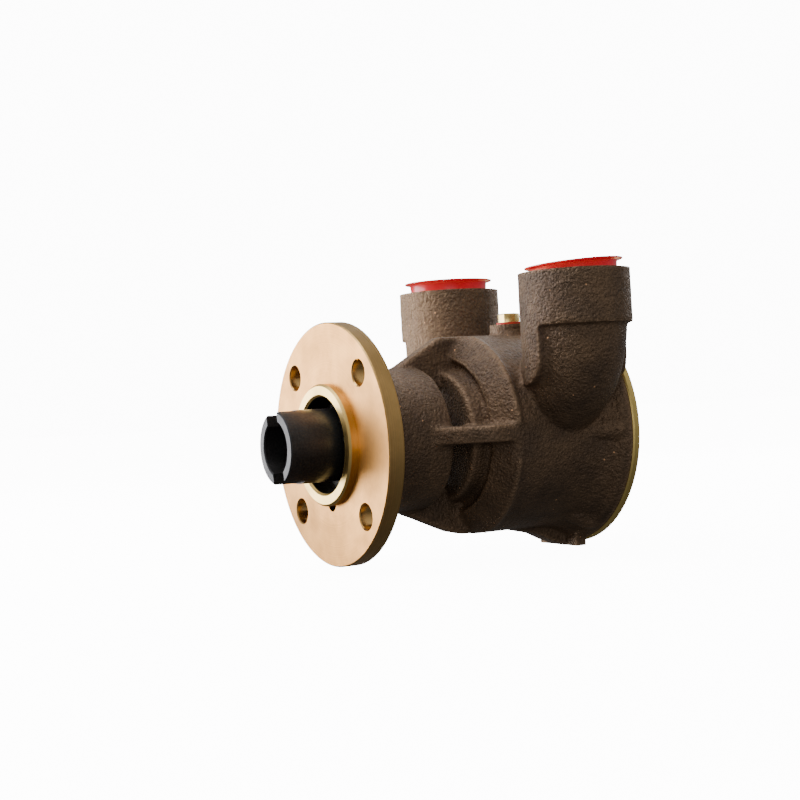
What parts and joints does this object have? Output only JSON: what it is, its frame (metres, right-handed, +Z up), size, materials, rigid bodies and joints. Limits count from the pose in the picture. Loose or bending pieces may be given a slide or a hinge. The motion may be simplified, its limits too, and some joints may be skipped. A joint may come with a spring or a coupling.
{
  "type": "flexible impeller pump",
  "caption": "Engine-mounted bronze water pump: round bolted flange, slotted drive sleeve, twin upward threaded ports with plugs, ribbed drain gap and plate end cover.",
  "frame": {"origin": "centre of the mounting flange's front face, on the shaft axis", "axes": "+Y along the shaft from the drive end to the end cover, +Z up through the ports"},
  "size_m": [0.182, 0.1873, 0.1554],
  "materials": {
    "cast_bronze": "sand-cast bronze, dark brown and grainy",
    "machined_bronze": "freshly turned bronze",
    "brass": "bright brass",
    "black_steel": "black steel with a ground end face",
    "stainless_steel": "turned stainless steel",
    "bearing_steel": "polished bearing steel",
    "cage_brass": "stamped brass",
    "black_rubber": "moulded black rubber",
    "ceramic": null,
    "seal_carbon": null,
    "gasket_fibre": "oiled gasket paper",
    "red_fibre": "red fibre sealing washer",
    "red_plastic": "soft glossy red plastic"
  },
  "bodies": {
    "casing": {"pump_body": "cast_bronze", "mounting_flange": "machined_bronze", "end_cover": "brass", "cover_screws": "brass", "cam_screw": "brass", "wear_plate": "brass", "cam": "brass", "flange_dowel": "stainless_steel", "bearing_retaining_ring": "stainless_steel", "front_bearing_outer_ring": "bearing_steel", "rear_bearing_outer_ring": "bearing_steel", "bearing_lip_seal": "black_rubber", "seal_seat_cup": "black_rubber", "seal_seat": "ceramic", "cover_gasket": "gasket_fibre", "cam_screw_washer": "red_fibre"},
    "rotor": {"drive_coupling": "black_steel", "coupling_pin": "stainless_steel", "pump_shaft": "stainless_steel", "front_bearing_inner_ring": "bearing_steel", "rear_bearing_inner_ring": "bearing_steel", "bearing_spacer": "stainless_steel", "shaft_retaining_ring": "stainless_steel", "water_slinger": "black_rubber", "seal_head": "seal_carbon", "seal_spring": "stainless_steel", "impeller": "black_rubber", "impeller_bush": "brass", "impeller_key": "stainless_steel"},
    "front_ball_set": {"front_bearing_balls": "bearing_steel", "front_bearing_cage": "cage_brass"},
    "rear_ball_set": {"rear_bearing_balls": "bearing_steel", "rear_bearing_cage": "cage_brass"},
    "near_cap": {"near_port_cap": "red_plastic"},
    "far_cap": {"far_port_cap": "red_plastic"}
  },
  "joints": [
    {"name": "rotor_spin", "type": "hinge", "parent": "casing", "child": "rotor", "pos_m": [0, 0, 0], "axis": [0, 1, 0], "continuous": true, "deforming": ["impeller"]},
    {"name": "front_ball_spin", "type": "hinge", "parent": "casing", "child": "front_ball_set", "pos_m": [0, 0.016, 0], "axis": [0, 1, 0], "continuous": true},
    {"name": "rear_ball_spin", "type": "hinge", "parent": "casing", "child": "rear_ball_set", "pos_m": [0, 0.039, 0], "axis": [0, 1, 0], "continuous": true},
    {"name": "near_cap_pull", "type": "slide", "parent": "casing", "child": "near_cap", "axis": [0, 0, 1], "range_m": [0, 0.1]},
    {"name": "far_cap_pull", "type": "slide", "parent": "casing", "child": "far_cap", "axis": [0, 0, 1], "range_m": [0, 0.1]}
  ],
  "couplings": [
    {"joint": "front_ball_spin", "follows": "rotor_spin", "ratio": 0.3836},
    {"joint": "rear_ball_spin", "follows": "rotor_spin", "ratio": 0.3836}
  ]
}
